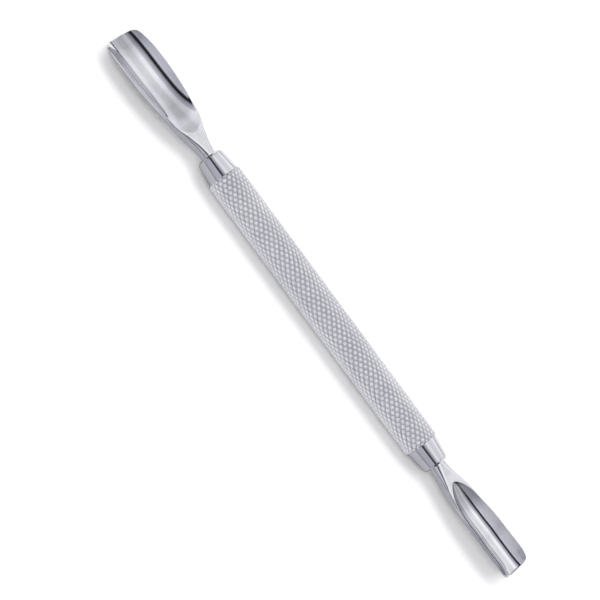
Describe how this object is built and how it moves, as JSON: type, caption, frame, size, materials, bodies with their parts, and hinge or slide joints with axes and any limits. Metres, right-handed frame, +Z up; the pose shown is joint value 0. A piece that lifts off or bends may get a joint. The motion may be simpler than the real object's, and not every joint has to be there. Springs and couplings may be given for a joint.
{
  "type": "cuticle pusher",
  "caption": "Double-ended metal cuticle pusher: round diamond-knurled handle with tapering end collars, a wide scoop at one end and a narrow scoop at the other.",
  "frame": {"origin": "on the resting surface, under the middle of the tool's length, midway across it", "axes": "+X along the tool towards the small pusher, +Y across it, +Z up, out of the open side of both scoops"},
  "size_m": [0.132, 0.0088, 0.0074],
  "materials": {
    "knurled_steel": "diamond-knurled stainless steel, satin",
    "collar_steel": "turned and polished stainless steel",
    "pusher_steel": "hand-polished stainless steel"
  },
  "bodies": {
    "root": {"knurled_handle": "knurled_steel", "large_end_collar": "collar_steel", "small_end_collar": "collar_steel", "large_pusher": "pusher_steel", "small_pusher": "pusher_steel"}
  },
  "joints": []
}
